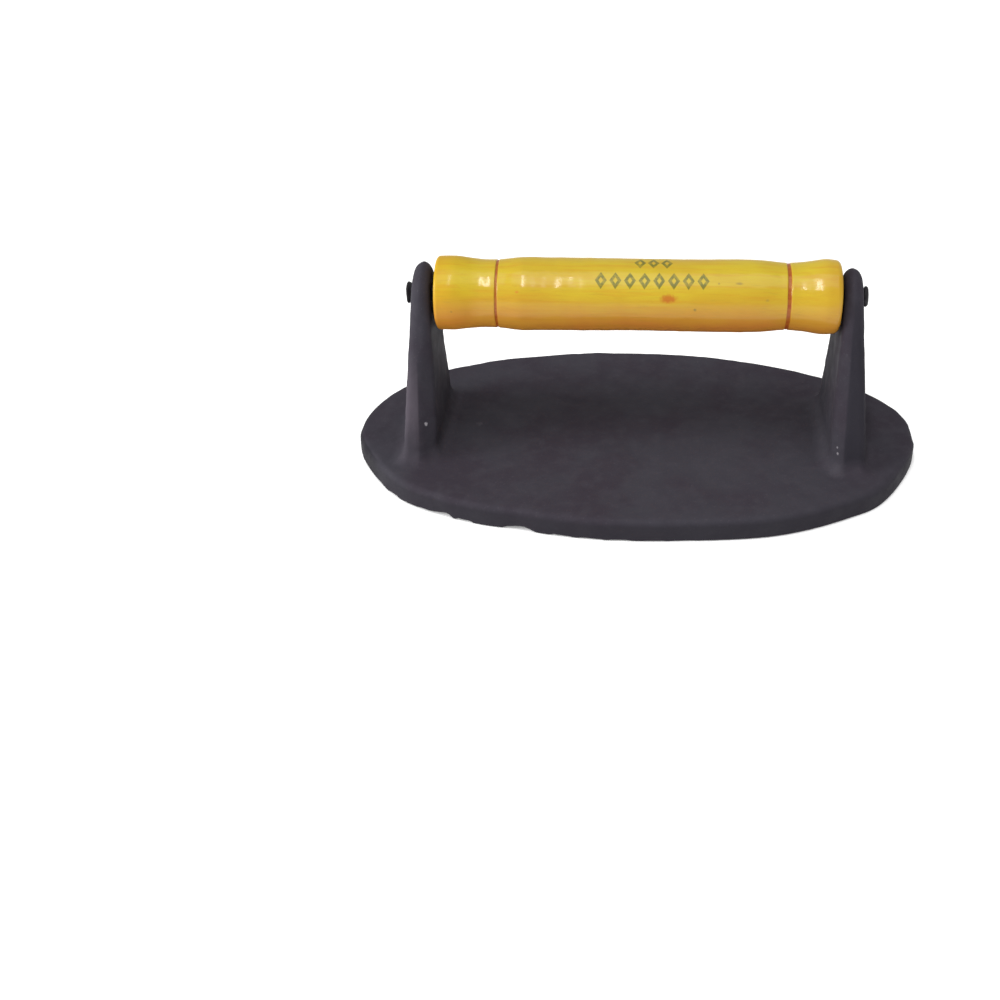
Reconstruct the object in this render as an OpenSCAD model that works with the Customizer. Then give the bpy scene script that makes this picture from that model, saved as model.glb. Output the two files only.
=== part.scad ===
// Cast-iron bacon press: an oval plate with a studded underside, two ears
// cast in one with it, and a turned wooden grip that spins on a steel rod.
// The frame: +X along the handle, +Z up, and the origin on the plane of the
// stud tips, under the middle of the plate. Millimetres.

/* [Plate] */
// Length of the oval plate, along the handle
plate_l = 200.8; // [190:0.1:220]
// Width of the oval plate, across the handle
plate_w = 116.8; // [110:0.1:140]
// Fullness of the oval: 2 is an ellipse, and more fills its shoulders out
plate_fullness = 2.15; // [2:0.01:2.6]
// Thickness from the stud tips to the flat top face
plate_t = 8.2; // [7:0.1:12]
// Radius of the rounded upper edge of the rim
rim_round = 1.2; // [0.5:0.1:3]

/* [Studs] */
// Distance between stud centres along a row
stud_pitch_x = 20.9; // [16:0.1:24]
// Distance between every second row of studs
stud_pitch_y = 20.1; // [16:0.1:24]
// Corner to corner length of a stud's flat tip
stud_tip = 11; // [9:0.1:13]
// Depth of the grooves between the studs
groove_depth = 1.5; // [0.8:0.1:3]
// Width of a groove's flat floor
groove_floor = 3.4; // [1:0.1:5]
// Shift of the stud pattern from the middle of the plate, along the handle
stud_shift_x = 2.8; // [-3:0.1:3]
// Shift of the stud pattern from the middle of the plate, across the handle
stud_shift_y = -1.7; // [-2:0.1:2]

/* [Ears] */
// Clear distance between the two ears
ear_gap = 139.2; // [125:0.1:140]
// Thickness of an ear at its round tip
ear_tip_t = 7.2; // [6:0.1:9]
// Thickness of an ear where it meets the plate
ear_base_t = 11.6; // [9:0.1:13]
// Width of an ear where it meets the plate
ear_base_w = 51; // [36:1:56]
// Radius of the ear's round tip
ear_tip_r = 10.4; // [8:0.1:12]
// Rounding of the ear's edges
ear_edge_r = 3.1; // [2:0.1:3.5]
// Size of the fillet between an ear and the plate
ear_fillet = 3.6; // [2:0.1:5]

/* [Rod] */
// Height of the rod's axis above the stud tips
rod_z = 62.7; // [56:0.1:75]
// Diameter of the rod
rod_d = 6; // [5:0.1:7]
// Diameter of the two heads on the rod's ends
head_d = 8; // [8:0.1:10]
// Distance from the ear's outer face to the end of each head
head_proud = 2.3; // [1.8:0.1:3]

/* [Grip] */
// Diameter of the grip's straight middle
grip_d = 24.8; // [22:0.1:30]
// Diameter of the bulb at each end of the grip
bulb_d = 25.6; // [22:0.1:30]
// Diameter of the neck behind each bulb
neck_d = 23.2; // [20:0.1:28]
// Gap between the grip and its ear, at the left end then at the right end
end_play = [1.2, 0.5]; // [0.3:0.1:2]
// Radial clearance between the rod and the grip's bore
bore_clearance = 0.08; // [0.02:0.01:0.1]
// Distance of the painted ring from the grip's end, left end then right end
ring_inset = [21.4, 17.6]; // [8:0.1:30]
// Width of a painted ring's groove
ring_w = 1; // [0.6:0.1:2]
// Depth of a painted ring's groove
ring_depth = 0.25; // [0.1:0.05:0.5]

/* [Hidden] */
$fn = 96;
hull_fn = 32;                             // facets of the round parts of a hull
oval_fn = 120;                            // corners of the plate's outline
iron = [0.17, 0.16, 0.18];
steel = [0.13, 0.13, 0.14];
wood = [0.87, 0.70, 0.20];

// The grooves run both ways along the diagonals of the stud pattern
groove_angle = atan2(stud_pitch_y, stud_pitch_x);
groove_pitch = stud_pitch_x * sin(groove_angle);
stud_face = stud_tip * sin(groove_angle);             // flat to flat, between grooves
groove_w = groove_pitch - stud_face;
groove_span = ceil(plate_l / groove_pitch / 2) + 1;   // enough to pass the rim

// The ears
ear_in = ear_gap / 2;                     // inner face of an ear
ear_out = ear_in + ear_tip_t;             // outer face at the tip
ear_mid_tip = ear_in + ear_tip_t / 2;

// The grip's outline: [place along the grip, radius], with a smooth blend between
grip_from = end_play[0] - ear_in;         // the grip's left end
grip_to = ear_in - end_play[1];           // and its right end
bore_r = rod_d / 2 + bore_clearance;
end_round = [2.6, 3.4];                   // rounding of the left and the right end
GRIP = [
    [grip_from, bulb_d / 2],
    [grip_from + 6.5, bulb_d / 2],
    [grip_from + 16, neck_d / 2],
    [grip_from + 22, neck_d / 2],
    [grip_from + 30, grip_d / 2],
    [grip_to - 31.5, grip_d / 2],
    [grip_to - 18.5, neck_d / 2],
    [grip_to - 15.5, neck_d / 2],
    [grip_to - 5, bulb_d / 2],
    [grip_to, bulb_d / 2],
];
grip_step = 1;                            // length of one step of the outline
grip_steps = round((grip_to - grip_from) / grip_step);

// Height of the outline at x, and how deep a groove or an end's rounding cuts it
function ease(t) = t * t * (3 - 2 * t);
function blend_at(i, x) =
    x <= GRIP[i + 1][0] || i + 2 >= len(GRIP)
        ? let (t = (x - GRIP[i][0]) / (GRIP[i + 1][0] - GRIP[i][0]))
          GRIP[i][1] + (GRIP[i + 1][1] - GRIP[i][1]) * ease(t)
        : blend_at(i + 1, x);
function round_cut(r, from_end) =
    from_end >= r ? 0 : r - sqrt(max(0, r * r - (r - from_end) * (r - from_end)));
function grip_r(x) =
    blend_at(0, x)
    - round_cut(end_round[0], x - grip_from)
    - round_cut(end_round[1], grip_to - x);

// A quarter circle of radius r about c, from angle a to a + 90
function arc(c, r, a, n = 8) = [for (i = [0:n]) c + r * [cos(a + 90 * i / n), sin(a + 90 * i / n)]];

// Turns a shape that was made along Z so that it lies along X
module along_x() {
    rotate([0, 90, 0]) children();
}

// The plate's oval outline, drawn in by inset all round
module oval(inset) {
    a = plate_l / 2 - inset;
    b = plate_w / 2 - inset;
    full = 2 / plate_fullness;
    polygon([
        for (i = [0:oval_fn - 1])
            let (c = cos(360 * i / oval_fn), s = sin(360 * i / oval_fn))
                [a * sign(c) * pow(abs(c), full), b * sign(s) * pow(abs(s), full)]
    ]);
}

// The oval plate, solid, with a rounded upper edge
module plate() {
    film = 0.01;                          // thickness of a layer that only shapes the edge
    hull() {
        linear_extrude(height = plate_t - rim_round) oval(0);
        for (a = [30, 60, 90])
            translate([0, 0, plate_t - film - rim_round * (1 - sin(a))])
                linear_extrude(height = film) oval(rim_round * (1 - cos(a)));
    }
}

// A groove with a flat floor and sloping sides, along Y, cut upwards from the stud tips
module groove() {
    over = 0.5;                           // how far the cutter reaches below the tips
    slope = (groove_w - groove_floor) / 2 / groove_depth;
    mouth = groove_w / 2 + over * slope;
    rotate([90, 0, 0])
        linear_extrude(height = 2 * plate_l, center = true)
            polygon([
                [-mouth, -over],
                [-groove_floor / 2, groove_depth],
                [groove_floor / 2, groove_depth],
                [mouth, -over],
            ]);
}

// Two families of parallel grooves, which leave flat-topped diamond studs
module groove_field() {
    translate([stud_shift_x, stud_shift_y, 0])
        for (side = [-1, 1], i = [-groove_span:groove_span])
            rotate([0, 0, side * (90 - groove_angle)])
                translate([(i + 0.5) * groove_pitch, 0, 0])
                    groove();
}

// A round tip about the rod, as thick as the ear, with rounded edges
module ear_tip() {
    half = ear_tip_t / 2;
    outline = concat(
        [[0, half]],
        [for (p = arc([ear_tip_r - ear_edge_r, half - ear_edge_r], ear_edge_r, 0, 6)) p],
        [for (p = arc([ear_tip_r - ear_edge_r, ear_edge_r - half], ear_edge_r, 270, 6)) p],
        [[0, -half]]
    );
    along_x() rotate_extrude($fn = hull_fn) polygon([for (p = outline) [p[0], p[1]]]);
}

// The four rounded corners of an ear's foot, grown by the fillet when skirt is above 0
module ear_foot(skirt, z) {
    x_in = ear_in + ear_edge_r - skirt;
    x_out = ear_in + ear_base_t - ear_edge_r + skirt;
    y = ear_base_w / 2 - ear_edge_r + skirt;
    for (x = [x_in, x_out], side = [-1, 1])
        translate([x, side * y, z]) children();
}

// One ear: a tapered slab from its round tip down into the plate, and its fillet
module ear() {
    hull() {
        translate([ear_mid_tip, 0, rod_z]) ear_tip();
        ear_foot(0, plate_t - 2)
            cylinder(r = ear_edge_r, h = 2, $fn = hull_fn);
    }
    hull() {
        ear_foot(ear_fillet, plate_t - 1)
            cylinder(r = ear_edge_r, h = 1, $fn = hull_fn);
        ear_foot(0, plate_t)
            cylinder(r = ear_edge_r, h = ear_fillet, $fn = hull_fn);
    }
}

// Plate, studs and both ears: one sand casting, painted black
module press_casting() {
    color(iron)
        difference() {
            union() {
                plate();
                for (side = [0, 1]) mirror([side, 0, 0]) ear();
            }
            groove_field();
            translate([0, 0, rod_z])
                along_x() cylinder(d = rod_d, h = plate_l, center = true);
        }
}

// The rod through both ears and the grip, with a flat head at one end and the
// other end hammered over into a flared one
module handle_rod() {
    tip = ear_out + head_proud;
    crown = 0.4;                          // how much each head's end face is domed
    disc_t = 1.3;                         // thickness of the flat head
    flare_from = ear_out - 0.1;           // where the hammered end starts to spread
    shaft_r = rod_d / 2;
    head_r = head_d / 2;
    color(steel)
        translate([0, 0, rod_z])
            along_x()
                rotate_extrude()
                    polygon([
                        [0, -tip],
                        [head_r * 0.6, -tip + crown * 0.3],
                        [head_r, -tip + crown],
                        [head_r, -tip + crown + 0.4],
                        [shaft_r, -flare_from],
                        [shaft_r, tip - crown - disc_t],
                        [head_r, tip - crown - disc_t],
                        [head_r, tip - crown],
                        [head_r * 0.6, tip - crown * 0.3],
                        [0, tip],
                    ]);
}

// The turned grip: a bulb and a neck at each end, a painted ring's groove behind
// each neck, and a bore right through for the rod
module wooden_grip() {
    ring_x = [grip_from + ring_inset[0], grip_to - ring_inset[1]];
    outline = [
        for (i = [0:grip_steps])
            let (x = grip_from + (grip_to - grip_from) * i / grip_steps)
                [grip_r(x), x]
    ];
    color(wood)
        translate([0, 0, rod_z])
            along_x()
                difference() {
                    rotate_extrude()
                        polygon(concat([[bore_r, grip_from]], outline, [[bore_r, grip_to]]));
                    for (x = ring_x)
                        translate([0, 0, x - ring_w / 2])
                            difference() {
                                cylinder(d = bulb_d + 2, h = ring_w);
                                translate([0, 0, -1])
                                    cylinder(d = neck_d - 2 * ring_depth, h = ring_w + 2);
                            }
                }
}

press_casting();
handle_rod();
wooden_grip();
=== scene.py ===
import math

import bpy
import numpy as np
from mathutils import Matrix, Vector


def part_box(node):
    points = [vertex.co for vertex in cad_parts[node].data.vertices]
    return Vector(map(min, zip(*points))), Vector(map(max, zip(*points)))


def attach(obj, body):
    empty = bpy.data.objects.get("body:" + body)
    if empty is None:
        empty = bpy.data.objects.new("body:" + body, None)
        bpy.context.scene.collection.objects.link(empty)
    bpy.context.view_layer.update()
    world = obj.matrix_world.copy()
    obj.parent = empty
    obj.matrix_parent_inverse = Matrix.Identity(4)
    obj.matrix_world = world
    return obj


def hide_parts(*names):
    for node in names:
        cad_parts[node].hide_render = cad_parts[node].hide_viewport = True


# The looks of a cast-iron bacon press: a painted casting, a steel rod and a lacquered
# wooden grip, each rebuilt as a fine mesh in the place of its CAD node. Shapes are worked
# out in millimetres in the CAD frame and turned into metres when the mesh is made.

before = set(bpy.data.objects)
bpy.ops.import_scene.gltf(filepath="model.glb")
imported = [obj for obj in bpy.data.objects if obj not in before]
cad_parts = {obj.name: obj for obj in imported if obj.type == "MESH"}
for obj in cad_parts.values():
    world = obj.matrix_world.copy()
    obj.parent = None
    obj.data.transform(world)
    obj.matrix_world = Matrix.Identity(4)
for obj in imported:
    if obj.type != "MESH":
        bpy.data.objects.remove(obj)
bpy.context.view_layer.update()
MM = 0.001

casting_hi = np.array(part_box("press_casting")[1]) / MM
rod_lo, rod_hi = (np.array(c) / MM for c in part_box("handle_rod"))
grip_lo, grip_hi = (np.array(c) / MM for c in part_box("wooden_grip"))

# ---------------------------------------------------------------- sizes, in millimetres
ROD_Z = (grip_lo[2] + grip_hi[2]) / 2     # height of the rod's axis
ROD_R = 2.96                              # radius of the rod's shaft
ROD_SEGMENTS = 64
HOLE_R = 3.04                             # radius of the holes in the ears

PLATE_A = casting_hi[0] - 0.1             # half length of the oval plate
PLATE_B = casting_hi[1] - 0.1             # half width
PLATE_FULLNESS = 2.15                     # exponent of the oval: 2 is an ellipse
PLATE_T = 8.2                             # height of the plate's top face
# rounding of the rim's upper edge: direction in degrees, mm
RIM_ROUND = [(0, 2.0), (40, 1.3), (140, 1.3), (180, 2.0), (215, 2.6), (325, 2.6)]
TIP_ROUND = 0.9                           # rounding of the rim's lower edge
# how far the hand-made rim stands out from the even oval: direction in degrees, mm
RIM_SHAPE = [
    (0, 0.5), (8, 0.75), (18, 0.65), (32, -0.52), (46, -1.65), (56, -1.84), (66, -1.24),
    (76, -0.43), (88, 0.45), (98, 0.47), (112, -0.69), (124, 0.47), (136, 0.11), (148, -0.82),
    (160, -1.53), (168, -1.13), (176, -0.72), (184, -0.29), (191, -0.97), (199, -1.77),
    (207, -1.52), (214, -0.43), (220, 0.3), (228, 0.04), (236, -0.17), (242, -0.71),
    (247.5, -1.75), (253, -0.83), (262, -0.2), (270, 0.27), (280, -0.25), (288, 0.27), (298, 1.19),
    (308, 0.82), (316, 0.35), (323, 1.35), (329, 0.34), (336, -0.96), (342, -1.3), (348, -1.05),
    (353, -0.2),
]

STUD_PITCH_X, STUD_PITCH_Y = 20.9, 20.1   # the stud pattern's two pitches
STUD_SHIFT = (2.8, -1.7)                  # the pattern's offset from the plate's middle
GROOVE_DEPTH = 1.5
GROOVE_HALF = 3.35                        # half width of a groove's mouth
GROOVE_FLANK = 1.8                        # width of a groove's sloping side
GROOVE_WAIST = 0.14                       # how much a groove narrows where two cross
RIM_GROOVE = 0.3                          # share of the grooves' depth left at the rim
RIM_FADE = 5.0                            # distance from the rim over which they fade
# where the grooves differ from that at the rim: direction in degrees, half width
RIM_OPEN = [(90, 75)]                     # much more of their depth is left
RIM_OPEN_GROOVE = 0.5                     # share of the depth left there, on top of the rest
RIM_NOTCHES = [(249, 4.0), (232, 3.0), (60, 4.0), (118, 4.0), (170, 5.0)]   # they run right out
RIM_SMOOTH = [(295, 38), (342, 22)]       # the rim closes them off

EAR_IN_TIP, EAR_IN_FOOT = 69.95, 68.8     # inner face at the rod and at the plate
EAR_OUT_TIP, EAR_OUT_FOOT = 76.7, 81.0    # outer face at the rod and at the plate
EAR_TIP_R = {-1: 10.7, 1: 9.9}            # radius of the left and the right ear's tip
EAR_FOOT_HALF = 25.5                      # half width at the plate
EAR_EDGE_TIP = 3.5                        # rounding of an ear's edges at its tip
EAR_EDGE_FOOT = 2.1                       # and at its foot
EAR_BEVEL = {-1: (5.2, 4.0), 1: (3.4, 3.0)}   # inner front edge's bevel: across, along
EAR_BEVEL_ROUND = 1.2                     # rounding of that bevel's two edges
EAR_FILLET = 5.0                          # reach of the fillet round the ear's foot

VOXEL = 0.6                               # grid step of the casting's mesh
CASTING_TRIANGLES = 185_000
SURFACE_WAVES = [(34, 0.10), (11, 0.05), (4.5, 0.025)]   # wavelength, height
WAVE_LIMITS = (-0.35, 0.1)                # how far in and how far out the waves may go

# the grip's outline: place along the grip, radius
GRIP_OUTLINE = [
    (-68.3, 12.72), (-66, 12.78), (-63.5, 12.8), (-61.5, 12.76), (-59, 12.45), (-56, 12.03),
    (-53, 11.8), (-50, 11.74), (-47, 11.8), (-44, 12.06), (-41, 12.48), (-38.5, 12.68),
    (-35, 12.63), (-28, 12.56), (-18, 12.5), (-8, 12.4), (2, 12.33), (14, 12.33), (26, 12.36),
    (36, 12.37), (40, 12.3), (43, 12.18), (46, 11.92), (49, 11.62), (51.5, 11.48), (54, 11.56),
    (57, 11.87), (60, 12.27), (62.5, 12.64), (64, 12.78), (65.5, 12.7), (67.5, 12.48), (69.1, 12.3),
]
GRIP_ENDS = (-68.35, 69.1)
GRIP_END_ROUND = (1.2, 1.7)               # rounding of the left and the right end
GRIP_RINGS = [(-47.0, 0.9), (51.5, 1.3)]  # painted rings: place, width
RING_DEPTH = 0.22
RING_SOFT = 0.22                          # width of a ring's sloping side
BORE_R = 3.08                             # radius of the hole for the rod
GRIP_SEGMENTS = 144

# ---------------------------------------------------------------- small tools for shapes
def smooth_step(t):
    t = np.clip(t, 0, 1)
    return t * t * (3 - 2 * t)


def smooth_min(a, b, reach):
    """The smaller of two distances, with a fillet of that reach where they meet."""
    return np.minimum(a, b) - np.maximum(reach - np.abs(a - b), 0) ** 2 / (4 * reach)


def smooth_max(a, b, reach):
    return -smooth_min(-a, -b, reach)


def round_corner(a, b, radius):
    """The solid inside both a and b, with the outside corner rounded to that radius."""
    a, b = a + radius, b + radius
    outside = np.sqrt(np.maximum(a, 0) ** 2 + np.maximum(b, 0) ** 2)
    return np.minimum(np.maximum(a, b), 0) + outside - radius


def waves(x, y, z, wavelength, seed, count=14):
    """Smooth random waves of about that wavelength, with an average size of 1."""
    rng = np.random.default_rng(seed)
    total = 0
    for _ in range(count):
        way = rng.normal(size=3)
        way *= 2 * math.pi / wavelength * rng.uniform(0.6, 1.4) / np.linalg.norm(way)
        total = total + np.sin(way[0] * x + way[1] * y + way[2] * z + rng.uniform(0, 2 * math.pi))
    return total * math.sqrt(2 / count)


def smoothed(values, width, beyond):
    """A row of values averaged over width of them. beyond says what lies past its ends."""
    kernel = np.hanning(width)
    padded = np.pad(values, width // 2, mode=beyond)
    return np.convolve(padded, kernel / kernel.sum(), "valid")


def near(angle, places):
    """1 at the directions in places, each (degrees, half width), and softly 0 elsewhere."""
    total = 0
    for degrees, half in places:
        off = (angle - degrees + 180) % 360 - 180
        total = total + np.exp(-((off / half) ** 2))
    return np.minimum(total, 1)


def round_table(places):
    """A table of values for every half degree, smoothly through (degrees, value)."""
    values = np.interp(np.arange(0, 360, 0.5), *np.array(places).T, period=360)
    return smoothed(values, 21, "wrap")


# ---------------------------------------------------------------- the casting's shape
RIM_TABLE = round_table(RIM_SHAPE)
ROUND_TABLE = round_table(RIM_ROUND)


def direction(x, y):
    """Direction of a place from the plate's middle, in degrees of the oval."""
    return np.degrees(np.arctan2(y / PLATE_B, x / PLATE_A)) % 360


def look_up(table, angle):
    """A half-degree table's value at each direction."""
    low = np.floor(angle * 2)
    index, share = low.astype(int) % len(table), angle * 2 - low
    return table[index] * (1 - share) + table[(index + 1) % len(table)] * share


def rim_distance(x, y):
    """Distance outside the plate's uneven oval outline."""
    n = PLATE_FULLNESS
    u, v = np.abs(x) / PLATE_A + 1e-6, np.abs(y) / PLATE_B + 1e-6
    g = (u**n + v**n) ** (1 / n)
    slope = g ** (1 - n) * np.sqrt((u ** (n - 1) / PLATE_A) ** 2 + (v ** (n - 1) / PLATE_B) ** 2)
    stand = look_up(RIM_TABLE, direction(x, y))
    uneven = (g - 1) / slope - stand * np.clip(g * 2 - 1, 0, 1)
    return np.maximum(uneven, np.maximum(np.abs(x) - PLATE_A, np.abs(y) - PLATE_B))


def groove_depth(x, y, from_rim):
    """How far the grooves between the studs are cut up into the plate at x, y."""
    tilt = math.atan2(STUD_PITCH_Y, STUD_PITCH_X)
    pitch = STUD_PITCH_X * math.sin(tilt)
    px, py = x - STUD_SHIFT[0], y - STUD_SHIFT[1]
    a = (px * math.sin(tilt) + py * math.cos(tilt)) / pitch
    b = (px * math.sin(tilt) - py * math.cos(tilt)) / pitch
    cuts = []
    for across, along in ((a, b), (b, a)):
        from_middle = np.abs(across - np.floor(across) - 0.5) * pitch
        half = GROOVE_HALF * (1 + GROOVE_WAIST * np.cos(2 * math.pi * along))
        cuts.append(smooth_step((half - from_middle) / GROOVE_FLANK))
    depth = GROOVE_DEPTH * smooth_max(cuts[0], cuts[1], 0.25)
    angle = direction(x, y)
    inland = np.maximum(smooth_step(-from_rim / RIM_FADE), near(angle, RIM_NOTCHES))
    at_rim = RIM_GROOVE * (1 - near(angle, RIM_SMOOTH)) + RIM_OPEN_GROOVE * near(angle, RIM_OPEN)
    kept = at_rim + (1 - at_rim) * inland
    return depth * kept * (1 + 0.1 * np.sin(x / 17 + 1) * np.cos(y / 13))


def ear_distance(x, y, z, side):
    """An ear: a slab that tapers up to a round tip about the rod."""
    # foot is 0 at the rod and 1 at the plate's top face, and front is 1 on the -Y side
    x, front = side * x, smooth_step(0.5 - y / 10)
    foot = np.clip((ROD_Z - z) / (ROD_Z - PLATE_T), -0.25, 1.1)
    outer_face = EAR_OUT_TIP + (EAR_OUT_FOOT - EAR_OUT_TIP) * foot
    inner_face = EAR_IN_TIP + (EAR_IN_FOOT - EAR_IN_TIP) * foot
    middle = (inner_face + outer_face) / 2
    across = np.abs(x - middle) - (outer_face - middle)
    drop, tip_r = PLATE_T - ROD_Z, EAR_TIP_R[side]
    reach = math.hypot(EAR_FOOT_HALF, drop)
    lean = math.atan2(drop, EAR_FOOT_HALF) + math.acos(tip_r / reach)
    ny, nz = math.cos(lean), math.sin(lean)
    y, z = np.abs(y), z - ROD_Z
    flank = ny * y + nz * z - tip_r
    tip = np.hypot(y, z) - tip_r
    outline = np.where(ny * z - nz * y > 0, tip, flank)
    grown = smooth_step(foot * 1.8)
    body = round_corner(across, outline, EAR_EDGE_TIP + (EAR_EDGE_FOOT - EAR_EDGE_TIP) * grown)
    wide, deep = (0.2 + size * grown * front for size in EAR_BEVEL[side])
    bevel = ((inner_face - x) / wide + outline / deep + 1) / np.hypot(1 / wide, 1 / deep)
    return smooth_max(body, bevel, EAR_BEVEL_ROUND)


def casting_distance(x, y, z):
    """Distance outside the casting: plate, studs, ears and the rod's two holes."""
    from_rim = rim_distance(x, y)
    body = round_corner(from_rim, z - PLATE_T, look_up(ROUND_TABLE, direction(x, y)))
    for side in (-1, 1):
        ear = np.maximum(ear_distance(x, y, z, side), PLATE_T / 2 - z)
        body = smooth_min(body, ear, EAR_FILLET)
    floor = groove_depth(x, y, from_rim) - z
    body = round_corner(body, floor, TIP_ROUND)
    return np.maximum(body, HOLE_R - np.hypot(y, z - ROD_Z))


def surface_net(field, corner, step):
    """Vertices and four-sided faces round the part of a grid where field is below 0."""
    inside = field < 0
    count = inside[:-1, :-1, :-1].astype(np.int8)
    for dx, dy, dz in np.ndindex(2, 2, 2):
        if dx or dy or dz:
            sx, sy, sz = (slice(d, d + n - 1) for d, n in zip((dx, dy, dz), inside.shape))
            count += inside[sx, sy, sz]
    cells = np.argwhere((count > 0) & (count < 8))
    index = np.full(count.shape, -1, np.int64)
    index[tuple(cells.T)] = np.arange(len(cells))
    corners = np.array(list(np.ndindex(2, 2, 2)))
    values = np.stack([field[tuple((cells + c).T)] for c in corners], 1)
    total, hits = np.zeros((len(cells), 3)), np.zeros(len(cells))
    for i, a in enumerate(corners):
        for j in range(i + 1, 8):
            b = corners[j]
            if np.abs(a - b).sum() != 1:
                continue
            crossing = (values[:, i] < 0) != (values[:, j] < 0)
            share = values[:, i] / np.where(crossing, values[:, i] - values[:, j], 1)
            total[crossing] += (a + share[:, None] * (b - a))[crossing]
            hits += crossing
    points = corner + step * (cells + total / hits[:, None])
    faces = []
    for axis in range(3):
        u, v = (axis + 1) % 3, (axis + 2) % 3
        low = [slice(None)] * 3
        high = [slice(None)] * 3
        low[axis], high[axis] = slice(0, -1), slice(1, None)
        edge = np.argwhere(inside[tuple(low)] != inside[tuple(high)])
        edge = edge[(edge[:, u] > 0) & (edge[:, v] > 0)]
        edge = edge[(edge[:, u] < count.shape[u]) & (edge[:, v] < count.shape[v])]
        ring = []
        for du, dv in ((-1, -1), (0, -1), (0, 0), (-1, 0)):
            cell = edge.copy()
            cell[:, u] += du
            cell[:, v] += dv
            ring.append(index[tuple(cell.T)])
        quad = np.stack(ring, 1)
        outward = inside[tuple(edge.T)]
        quad[~outward] = quad[~outward][:, ::-1]
        faces.append(quad)
    return points, np.concatenate(faces)


def slope_of(field, points, reach=0.05):
    """The field's value and its slope at each point."""
    x, y, z = points.T
    slope = np.stack([
        field(x + reach, y, z) - field(x - reach, y, z),
        field(x, y + reach, z) - field(x, y - reach, z),
        field(x, y, z + reach) - field(x, y, z - reach),
    ], 1) / (2 * reach)
    return field(x, y, z), slope


def settle(field, points, rounds=2):
    """Moves points onto the surface where field is 0, and gives their outward directions."""
    for _ in range(rounds):
        value, slope = slope_of(field, points)
        length = np.maximum((slope**2).sum(1), 0.25)
        points = points - np.clip(value / length, -VOXEL, VOXEL)[:, None] * slope
    _, slope = slope_of(field, points)
    return points, slope / np.maximum(np.linalg.norm(slope, axis=1), 1e-6)[:, None]


# ---------------------------------------------------------------- meshes
def new_piece(name, shape, body, node, material):
    """A smooth-shaded mesh that stands for a CAD node. Its shape is points, in millimetres,
    and faces."""
    points, faces = shape
    mesh = bpy.data.meshes.new(name)
    mesh.from_pydata((np.asarray(points) * MM).tolist(), [], [list(f) for f in faces])
    mesh.validate()
    piece = bpy.data.objects.new(name, mesh)
    bpy.context.scene.collection.objects.link(piece)
    mesh.materials.append(material)
    mesh.polygons.foreach_set("use_smooth", [True] * len(mesh.polygons))
    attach(piece, body)
    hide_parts(node)
    return piece


def mesh_points(mesh):
    flat = np.empty(len(mesh.vertices) * 3)
    mesh.vertices.foreach_get("co", flat)
    return flat.reshape(-1, 3) / MM


def casting_field():
    """The casting's distance on a grid, worked out only near the plate and the ears."""
    lo = np.array([-PLATE_A - 2, -PLATE_B - 2, -1.5])
    hi = np.array([PLATE_A + 2, PLATE_B + 2, casting_hi[2] + 1.5])
    axes = [np.arange(a, b, VOXEL) for a, b in zip(lo, hi)]
    x, y, z = np.meshgrid(*axes, indexing="ij", sparse=True)
    far_outside = 4.0
    field = np.full([len(a) for a in axes], far_outside)
    plate_top = int((PLATE_T + EAR_FILLET + 4 - lo[2]) / VOXEL)
    field[:, :, :plate_top] = casting_distance(x, y, z[:, :, :plate_top])
    y_span = np.flatnonzero(np.abs(axes[1]) < EAR_FOOT_HALF + 2)
    ys = slice(y_span[0], y_span[-1] + 1)
    for side in (-1, 1):
        out = side * axes[0]
        x_span = np.flatnonzero((out > EAR_IN_FOOT - 3) & (out < EAR_OUT_FOOT + 3))
        xs = slice(x_span[0], x_span[-1] + 1)
        field[xs, ys, plate_top:] = casting_distance(x[xs], y[:, ys], z[:, :, plate_top:])
    return field, lo


def build_casting(material):
    """The casting, meshed on a grid, thinned, and made uneven except on the studs' tips."""
    points, faces = surface_net(*casting_field(), VOXEL)
    points, _ = settle(casting_distance, points)
    piece = new_piece(
        "painted_casting", (points, faces), "press", "press_casting", material)
    thin = piece.modifiers.new("thin", "DECIMATE")
    thin.ratio = CASTING_TRIANGLES / (2 * len(faces))
    graph = bpy.context.evaluated_depsgraph_get()
    mesh = bpy.data.meshes.new_from_object(piece.evaluated_get(graph))
    piece.modifiers.clear()
    piece.data = mesh
    mesh.name = "painted_casting"
    points, outward = settle(casting_distance, mesh_points(mesh), 1)
    x, y, z = points.T
    lift = 0
    for seed, (wavelength, height) in enumerate(SURFACE_WAVES):
        lift = lift + height * waves(x, y, z, wavelength, seed + 10)
    lift = np.clip(lift, *WAVE_LIMITS)
    off_the_tips = smooth_step((z - 0.05) / 0.6)
    points = points + (lift * off_the_tips)[:, None] * outward
    points[:, 2] = np.maximum(points[:, 2], 0)
    mesh.vertices.foreach_set("co", (points * MM).ravel())
    mesh.polygons.foreach_set("use_smooth", [True] * len(mesh.polygons))
    mesh.update()


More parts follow.
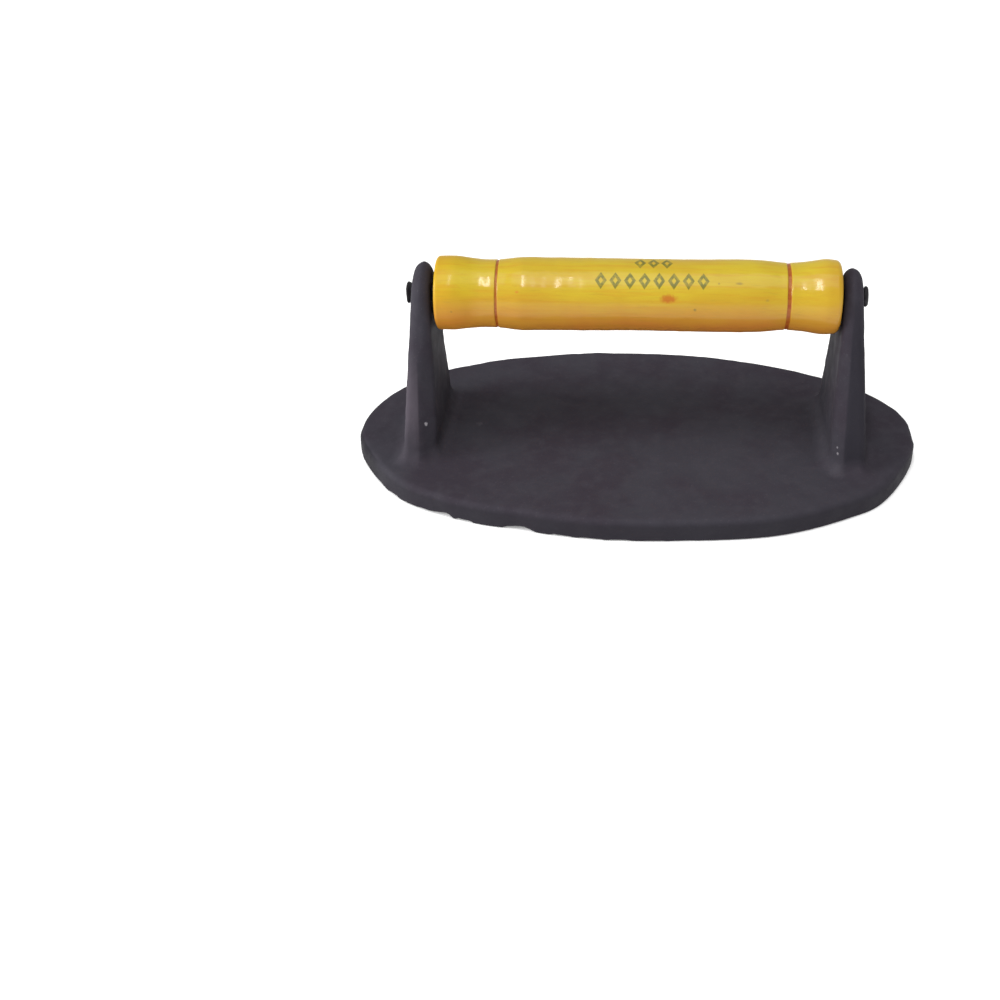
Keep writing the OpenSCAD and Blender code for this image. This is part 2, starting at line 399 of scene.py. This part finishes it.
def lathe(outline, segments, wobble, closed):
    """Points (place along X, radius) turned about the rod's axis. An outline that isn't
    closed into a ring gets a cap at each end."""
    outline = np.array(outline)
    turn = np.arange(segments) * 2 * math.pi / segments
    along, radius = (outline[:, i][:, None] * np.ones(segments) for i in (0, 1))
    angle = turn[None] * np.ones((len(outline), 1))
    along, radius = wobble(along, radius, angle)
    points = np.stack([along, radius * np.cos(angle), ROD_Z + radius * np.sin(angle)], -1)
    n = len(outline)
    here = np.arange(n * segments).reshape(n, segments)
    right = np.roll(here, -1, 1)
    quads = np.stack([here, right, np.roll(right, -1, 0), np.roll(here, -1, 0)], -1)
    if closed:
        return points.reshape(-1, 3), quads.reshape(-1, 4)
    poles = [points[0].mean(0), points[-1].mean(0)]
    first = [(n * segments, b, a) for a, b in zip(here[0], right[0])]
    last = [(n * segments + 1, a, b) for a, b in zip(here[-1], right[-1])]
    faces = [*quads[:-1].reshape(-1, 4), *first, *last]
    return np.concatenate([points.reshape(-1, 3), poles]), faces


def grip_outline():
    """The grip's outline from the bore's left end, over the outside, to its right end."""
    lo, hi = GRIP_ENDS
    places = np.concatenate([np.arange(lo, hi, 0.7), [hi]])
    places = np.concatenate([places] + [p + np.linspace(-w, w, 13) for p, w in GRIP_RINGS])
    near_end = np.linspace(0, 1, 14) ** 2
    ends = [lo + GRIP_END_ROUND[0] * near_end, hi - GRIP_END_ROUND[1] * near_end]
    places = np.unique(np.round(np.concatenate([places, *ends]), 3))
    fine = np.arange(lo, hi + 0.01, 0.1)
    radius = smoothed(np.interp(fine, *np.array(GRIP_OUTLINE).T), 25, "edge")
    radius = np.interp(places, fine, radius)
    for size, gap in zip(GRIP_END_ROUND, (places - lo, hi - places)):
        radius -= size - np.sqrt(np.maximum(size**2 - np.maximum(size - gap, 0) ** 2, 0))
    for place, width in GRIP_RINGS:
        inside = (width / 2 - np.abs(places - place)) / RING_SOFT + 0.5
        radius -= RING_DEPTH * smooth_step(inside)
    rows = list(zip(places, radius))
    chamfer = 0.5
    inner = [(hi, BORE_R + chamfer), (hi - chamfer, BORE_R)]
    inner += [(x, BORE_R) for x in np.linspace(hi - 8, lo + 8, 20)]
    inner += [(lo + chamfer, BORE_R), (lo, BORE_R + chamfer)]
    return rows + inner


def build_grip(material):
    def turning(along, radius, angle):
        """The slight unevenness of the outside."""
        y, z = radius * np.cos(angle), radius * np.sin(angle)
        rough = 0.045 * waves(along, y, z, 26, 31) + 0.02 * waves(along * 1.5, y, z, 9, 32)
        outside = radius > BORE_R + 2
        return along, radius + np.where(outside, np.clip(rough - 0.05, -0.2, 0.03), 0)

    shape = lathe(grip_outline(), GRIP_SEGMENTS, turning, closed=True)
    new_piece("lacquered_grip", shape, "grip", "wooden_grip", material)


def build_rod(material):
    left, right = rod_lo[0], rod_hi[0]
    neck = EAR_OUT_TIP
    # each head's outline: distance in from the rod's end, radius
    flared = [
        (0.02, 0.8), (0.03, 1.6), (0.07, 2.9), (0.2, 3.6), (0.45, 3.9), (0.8, 3.85), (1.25, 3.6),
        (1.8, 3.35),
    ]
    disc = [
        (1.75, ROD_R), (1.68, 3.25), (1.5, 3.45), (1.1, 3.52), (0.75, 3.45), (0.4, 3.15),
        (0.2, 2.6), (0.08, 1.7), (0.06, 0.8),
    ]
    outline = [(left + gap, radius) for gap, radius in flared]
    outline += [(-neck + 0.1, 3.15), (-neck + 0.6, ROD_R)]
    outline += [(x, ROD_R) for x in np.linspace(-neck + 3, neck - 3, 40)]
    outline += [(neck, ROD_R)] + [(right - gap, radius) for gap, radius in disc]

    def hammered(along, radius, angle):
        """The flared head's blows, and the disc's slight tilt."""
        head = smooth_step((-along - neck - 0.3) / 1.2)
        facets = 0.16 * np.sin(3 * angle + 0.6) + 0.1 * np.sin(5 * angle + 2)
        facets = facets + 0.05 * np.sin(9 * angle)
        radius = radius + head * facets * radius / 3.8 - 0.12 * head
        dome = head * 0.06 * np.sin(2 * angle + 1) * radius / 3.8
        at_disc = smooth_step((along - neck - 0.3) / 0.2)
        off_centre = 0.38 * np.sin(angle) + 0.05 * np.sin(2 * angle) - 0.05
        radius = radius + at_disc * radius / 3.9 * off_centre
        tilt = at_disc * 0.1 * (radius * np.cos(angle + 0.5)) - 0.15 * at_disc
        return along + dome + np.minimum(tilt, 0.02), radius

    shape = lathe(outline, ROD_SEGMENTS, hammered, closed=False)
    new_piece("painted_rod", shape, "press", "handle_rod", material)


# ---------------------------------------------------------------- materials
class Nodes:
    """Adds shader nodes to a material, and links or sets what each one reads. A socket goes
    by its name, or by i and its number."""

    def __init__(self, name):
        self.material = bpy.data.materials.new(name)
        self.material.use_nodes = True
        self.tree = self.material.node_tree
        self.shader = next(n for n in self.tree.nodes if n.type == "BSDF_PRINCIPLED")

    def add(self, kind, props=None, **reads):
        node = self.tree.nodes.new("ShaderNode" + kind)
        for key, value in (props or {}).items():
            setattr(node, key, value)
        for key, value in reads.items():
            self.put(node, int(key[1:]) if key[0] == "i" else key, value)
        return node

    def put(self, node, socket, value):
        if isinstance(value, bpy.types.Node):
            value = value.outputs[0]
        if isinstance(value, bpy.types.NodeSocket):
            self.tree.links.new(value, node.inputs[socket])
        else:
            node.inputs[socket].default_value = value

    def math(self, operation, a, b=0.0):
        return self.add("Math", {"operation": operation}, i0=a, i1=b)

    def place(self, scale=(1, 1, 1)):
        """Object coordinates in millimetres, stretched by scale."""
        coords = self.add("TexCoord").outputs["Object"]
        node = self.add("Mapping", None, i0=coords)
        node.inputs["Scale"].default_value = [s / MM for s in scale]
        return node

    def noise(self, place, size, detail=3.0, roughness=0.55):
        """Noise from 0 to 1 with features about size millimetres across."""
        node = self.add("TexNoise", None, Vector=place)
        node.inputs["Scale"].default_value = 1 / size
        node.inputs["Detail"].default_value = detail
        node.inputs["Roughness"].default_value = roughness
        return node.outputs["Fac"]

    def ramp(self, value, low, high, to_low=0.0, to_high=1.0):
        """value taken smoothly from low..high to to_low..to_high."""
        node = self.add("MapRange", {"interpolation_type": "SMOOTHSTEP"}, Value=value)
        limits = {"From Min": low, "From Max": high, "To Min": to_low, "To Max": to_high}
        for socket, number in limits.items():
            node.inputs[socket].default_value = number
        return node.outputs[0]

    def mix(self, share, a, b):
        node = self.add("Mix", {"data_type": "RGBA"})
        self.put(node, 0, share)
        for socket, value in ((6, a), (7, b)):
            self.put(node, socket, (*value, 1) if isinstance(value, tuple) else value)
        return node.outputs[2]

    def bump(self, height, depth, normal=None):
        """A bump of that depth in millimetres where height goes from 0 to 1."""
        node = self.add("Bump", None, Height=height)
        node.inputs["Strength"].default_value = 1
        node.inputs["Distance"].default_value = depth * MM
        if normal is not None:
            self.put(node, "Normal", normal)
        return node.outputs[0]

    def spot(self, place, centre, radius, ragged):
        """1 inside a ragged spot about centre, in millimetres, and 0 outside it."""
        away = self.add("VectorMath", {"operation": "DISTANCE"}, i0=place, i1=centre)
        edge = self.math("ADD", away.outputs["Value"], self.math("MULTIPLY", ragged, radius * 2))
        return self.ramp(edge, radius * 0.4, radius * 1.3, 1, 0)

    def parts(self, place):
        """The three numbers of a place."""
        return self.add("SeparateXYZ", None, i0=place).outputs

    def band(self, value, centre, half, soft):
        """1 where value is within half of centre, fading to 0 over soft."""
        away = self.math("ABSOLUTE", self.math("SUBTRACT", value, centre))
        return self.ramp(away, half - soft / 2, half + soft / 2, 1, 0)

    def lozenges(self, along, around, first, pitch, count, centre):
        """A row of count outlined lozenges: 1 on their lines and 0 elsewhere."""
        cell = self.math("DIVIDE", self.math("SUBTRACT", along, first), pitch)
        across = self.math("ABSOLUTE", self.math("SUBTRACT", self.math("FRACT", cell), 0.5))
        up = self.math("ABSOLUTE", self.math("SUBTRACT", around, centre))
        across = self.math("MULTIPLY", across, pitch / LOZENGE[0])
        out = self.math("ADD", across, self.math("DIVIDE", up, LOZENGE[1]))
        line = self.band(out, LOZENGE_LINE, LOZENGE_HALF, 0.12)
        row = self.band(cell, count / 2, count / 2, 0.02)
        return self.math("MULTIPLY", line, row)


def srgb(r, g, b):
    """Linear colour of an sRGB colour given from 0 to 255."""
    share = (c / 255 for c in (r, g, b))
    return tuple(((c + 0.055) / 1.055) ** 2.4 if c > 0.04045 else c / 12.92 for c in share)


# marks in the iron's paint: centre, radius, strength
CHIPS = [
    ((-72.26, -20.25, 21.3), 0.66, 1.0),
    ((70.83, -21.69, 16.1), 0.38, 0.5),
    ((71.11, -22.56, 14.1), 0.46, 0.6),
]
SCUFFS = [((70.6, -26.0, 9.0), 3.0, 0.13), ((-56.0, 2.0, 8.2), 1.4, 0.3)]


def painted_iron():
    n = Nodes("black_paint_on_cast_iron")
    place = n.place()
    broad, medium, fine = n.noise(place, 22), n.noise(place, 5, 4), n.noise(place, 0.9, 2)
    colour = n.mix(n.ramp(broad, 0.35, 0.65), srgb(50, 45, 53), srgb(54, 52, 59))
    colour = n.mix(n.ramp(medium, 0.45, 0.7, 0, 0.4), colour, srgb(60, 57, 64))
    colour = n.mix(n.ramp(fine, 0.6, 0.75, 0, 0.3), colour, srgb(74, 70, 78))
    # the studs' flat tips, rubbed lighter by use
    height = n.parts(place)["Z"]
    tips = n.ramp(height, 0.05, 0.5, 1, 0)
    rubbed = n.math("MULTIPLY", tips, n.ramp(n.noise(place, 3.5, 4), 0.25, 0.6, 0.35, 1))
    colour = n.mix(rubbed, colour, srgb(92, 88, 94))
    # painted shade: the rim's side and the grooves are coloured darker, for the shade that falls on
    # them
    side = n.math("MULTIPLY", n.ramp(height, 5.5, 8.0, 0.7, 0), n.math("SUBTRACT", 1.0, tips))
    colour = n.mix(side, colour, srgb(38, 36, 42))
    # painted shade: the rim's left end is coloured darkest
    left = n.math("MULTIPLY", n.ramp(height, 7.7, 8.2, 1, 0), n.math("SUBTRACT", 1.0, tips))
    left = n.math("MULTIPLY", left, n.ramp(n.parts(place)["X"], -93.5, -87.5, 0.75, 0))
    colour = n.mix(left, colour, srgb(30, 28, 33))
    # painted shade: the right ear's front edge is coloured darker too
    painted_ear_shade = n.ramp(n.parts(place)["X"], 72.6, 73.6)
    painted_ear_shade = n.math("MULTIPLY", painted_ear_shade, n.ramp(n.parts(place)["Y"], -14, -6, 1, 0))
    painted_ear_shade = n.math("MULTIPLY", painted_ear_shade, n.ramp(height, 8.5, 14))
    colour = n.mix(painted_ear_shade, colour, srgb(42, 40, 47))
    # painted highlight: the left ear's front edge is coloured a lighter grey, for the sheen of
    # light on it
    edge = n.ramp(n.parts(place)["X"], -75.1, -74.3, 1, 0)
    edge = n.math("MULTIPLY", edge, n.ramp(n.parts(place)["Y"], -15, -12, 1, 0))
    edge = n.math("MULTIPLY", edge, n.ramp(height, 8.0, 10.0))
    edge = n.math("MULTIPLY", edge, n.ramp(height, 13, 27, 0.3, 1))
    edge = n.math("MULTIPLY", edge, n.ramp(height, 30, 52, 0.9, 0))
    colour = n.mix(edge, colour, srgb(77, 71, 79))
    # scuffs, and a few chips in the paint on the front edges of the ears
    ragged = n.math("SUBTRACT", n.noise(place, 0.8, 3), 0.5)
    for marks, tint in ((SCUFFS, srgb(88, 84, 91)), (CHIPS, srgb(150, 146, 152))):
        for centre, radius, strength in marks:
            mark = n.math("MULTIPLY", n.spot(place, centre, radius, ragged), strength)
            colour = n.mix(mark, colour, tint)
    n.put(n.shader, "Base Color", colour)
    n.put(n.shader, "Roughness", n.ramp(n.noise(place, 7, 3), 0.3, 0.7, 0.66, 0.8))
    n.shader.inputs["Specular IOR Level"].default_value = 0.12
    sand = n.bump(n.noise(place, 0.55, 2), 0.035)
    lumps = n.bump(n.noise(place, 2.6, 3), 0.06, sand)
    n.put(n.shader, "Normal", lumps)
    return n.material


def rod_steel():
    n = Nodes("black_painted_steel")
    place = n.place()
    worn = n.ramp(n.noise(place, 2.2, 4), 0.52, 0.7)
    n.put(n.shader, "Base Color", n.mix(worn, srgb(24, 22, 26), srgb(44, 42, 46)))
    n.put(n.shader, "Roughness", n.ramp(n.noise(place, 1.2, 2), 0.3, 0.7, 0.45, 0.6))
    n.shader.inputs["Specular IOR Level"].default_value = 0.25
    n.put(n.shader, "Normal", n.bump(n.noise(place, 0.8, 3), 0.06))
    return n.material


LOZENGE = (2.05, 3.15)                    # half width and half height of a printed lozenge
LOZENGE_LINE, LOZENGE_HALF = 0.68, 0.3    # place and half width of its line, of the whole
PRINT_ROWS = [(-13.9, 4.9, 8, 131), (-0.6, 4.5, 3, 93)]   # first, pitch, count, direction
GRIP_R = 12.35                            # the printed part's radius
# marks in the lacquer: place along the grip, direction, size, length ratio, colour
GRIP_MARKS = [
    (11.4, 159.4, 1.5, 1.8, (170, 66, 12)), (-62.2, 184.3, 0.5, 1, (128, 100, 40)),
    (-39.6, 151.3, 0.5, 1.5, (186, 104, 34)), (20.3, 176.6, 0.55, 1, (112, 100, 44)),
    (34.8, 134.3, 0.5, 2.5, (132, 112, 40)), (28.0, 134.6, 0.4, 1, (140, 118, 46)),
    (44.2, 160.1, 0.6, 1.3, (150, 124, 46)),
]


def lacquered_wood():
    n = Nodes("yellow_lacquered_wood")
    place = n.place()
    x, y, z = (n.parts(place)[i] for i in range(3))
    angle = n.math("ARCTAN2", n.math("SUBTRACT", z, ROD_Z), y)
    around = n.math("MULTIPLY", angle, GRIP_R)
    streaks = n.noise(n.place((0.05, 1, 1)), 1.3, 3)
    fine_streaks = n.noise(n.place((0.06, 1, 1)), 0.45, 2)
    clouds = n.noise(n.place((0.5, 1, 1)), 14, 2)
    colour = n.mix(n.ramp(clouds, 0.35, 0.65), srgb(182, 152, 22), srgb(187, 163, 28))
    # painted shade: the grip is coloured redder and darker underneath, where shade falls
    painted_underside_shade = n.ramp(z, ROD_Z - 9, ROD_Z + 9, 1, 0)
    painted_underside_shade = n.math("MULTIPLY", painted_underside_shade, n.ramp(clouds, 0.3, 0.7, 1.0, 0.75))
    colour = n.mix(painted_underside_shade, colour, srgb(190, 114, 46))
    ends = n.ramp(n.math("ABSOLUTE", x), 58, 69, 0, 0.35)
    colour = n.mix(ends, colour, srgb(196, 138, 28))
    colour = n.mix(n.ramp(streaks, 0.45, 0.7, 0, 0.35), colour, srgb(182, 124, 20))
    colour = n.mix(n.ramp(fine_streaks, 0.55, 0.75, 0, 0.25), colour, srgb(150, 128, 36))
    ragged = n.math("SUBTRACT", n.noise(place, 1.1, 3), 0.5)
    for along, degrees, size, ratio, tint in GRIP_MARKS:
        turn = math.radians(degrees)
        centre = (along / ratio, GRIP_R * math.cos(turn), ROD_Z + GRIP_R * math.sin(turn))
        mark = n.spot(n.place((1 / ratio, 1, 1)), centre, size, n.math("MULTIPLY", ragged, 0.5))
        colour = n.mix(n.math("MULTIPLY", mark, 0.7), colour, srgb(*tint))
    # two rows of faded grey-green lozenges
    worn = n.ramp(n.noise(place, 1.6, 3), 0.3, 0.6, 0.55, 0.9)
    for first, pitch, count, degrees in PRINT_ROWS:
        row = n.lozenges(x, around, first, pitch, count, math.radians(degrees) * GRIP_R)
        colour = n.mix(n.math("MULTIPLY", row, worn), colour, srgb(92, 94, 24))
    # the two red rings
    wobble = n.math("MULTIPLY", n.math("SUBTRACT", n.noise(place, 5, 2), 0.5), 0.5)
    for (centre, width), tint in zip(GRIP_RINGS, ((148, 68, 6), (148, 62, 8))):
        ring = n.band(n.math("ADD", x, wobble), centre, width / 2, 0.35)
        ring = n.math("MULTIPLY", ring, n.ramp(streaks, 0.3, 0.7, 1, 0.75))
        colour = n.mix(ring, colour, srgb(*tint))
    n.put(n.shader, "Base Color", colour)
    n.shader.inputs["Roughness"].default_value = 0.5
    n.shader.inputs["Specular IOR Level"].default_value = 0.2
    n.put(n.shader, "Coat Weight", n.ramp(x, -57, -52, 0.12, 0.45))
    n.shader.inputs["Coat Roughness"].default_value = 0.13
    grain = n.bump(fine_streaks, 0.02)
    n.put(n.shader, "Normal", n.bump(n.noise(place, 3.5, 2), 0.05, grain))
    uneven = n.bump(n.noise(n.place((1, 0.4, 0.4)), 3.6, 0), 0.13)
    n.put(n.shader, "Coat Normal", uneven)
    return n.material


def pale_floor():
    n = Nodes("pale_floor")
    place = n.place()
    colour = n.mix(n.noise(place, 400), srgb(246, 246, 246), srgb(250, 250, 250))
    n.put(n.shader, "Base Color", colour)
    n.shader.inputs["Roughness"].default_value = 0.9
    n.shader.inputs["Specular IOR Level"].default_value = 0.1
    n.shader.inputs["Emission Color"].default_value = (1, 1, 1, 1)
    n.shader.inputs["Emission Strength"].default_value = 0.25
    return n.material


# ---------------------------------------------------------------- floor, light and camera
def build_floor():
    half = 12.0
    corners = [(-half, -half, 0), (half, -half, 0), (half, half, 0), (-half, half, 0)]
    mesh = bpy.data.meshes.new("floor")
    mesh.from_pydata(corners, [], [(0, 1, 2, 3)])
    mesh.materials.append(pale_floor())
    floor = bpy.data.objects.new("floor", mesh)
    bpy.context.scene.collection.objects.link(floor)


def area_light(name, direction, distance, size, power):
    """A light in that direction from the object, facing it. Its size is its width and its
    height, and its height stands square to the grip."""
    light = bpy.data.lights.new(name, "AREA")
    light.shape = "RECTANGLE"
    light.size, light.size_y = size
    light.energy = power
    lamp = bpy.data.objects.new(name, light)
    bpy.context.scene.collection.objects.link(lamp)
    way = np.array(direction) / np.linalg.norm(direction)
    target = np.array([0, 0, 0.04])
    lamp.location = (target + way * distance).tolist()
    up = np.cross(way, (1, 0, 0))
    up /= np.linalg.norm(up)
    axes = np.column_stack([np.cross(up, way), up, way])
    lamp.rotation_euler = Matrix(axes.tolist()).to_euler()


def build_light():
    world = bpy.data.worlds.new("studio")
    world.use_nodes = True
    background = world.node_tree.nodes["Background"]
    background.inputs["Color"].default_value = (1, 1, 1, 1)
    background.inputs["Strength"].default_value = 0.5
    bpy.context.scene.world = world
    area_light("softbox", (0.05, -0.2, 1.0), 3.0, (2.4, 2.4), 33)
    area_light("window", (-0.95, -0.2, 0.35), 1.8, (1.0, 0.8), 26)
    area_light("glint", (-0.125, -0.40, 0.90), 1.3, (0.05, 0.8), 5.0)


def build_camera():
    camera = bpy.data.cameras.new("camera")
    camera.lens = 52.942
    camera.sensor_width = 36
    camera.clip_end = 100
    holder = bpy.data.objects.new("camera", camera)
    holder.location = (0.002729, -0.458192, 0.292388)
    holder.rotation_euler = (0.96839, 0.032661, 0.090826)
    bpy.context.scene.collection.objects.link(holder)
    bpy.context.scene.camera = holder
    bpy.context.scene.view_settings.view_transform = "Standard"


build_camera()
build_light()
build_floor()
build_casting(painted_iron())
build_rod(rod_steel())
build_grip(lacquered_wood())
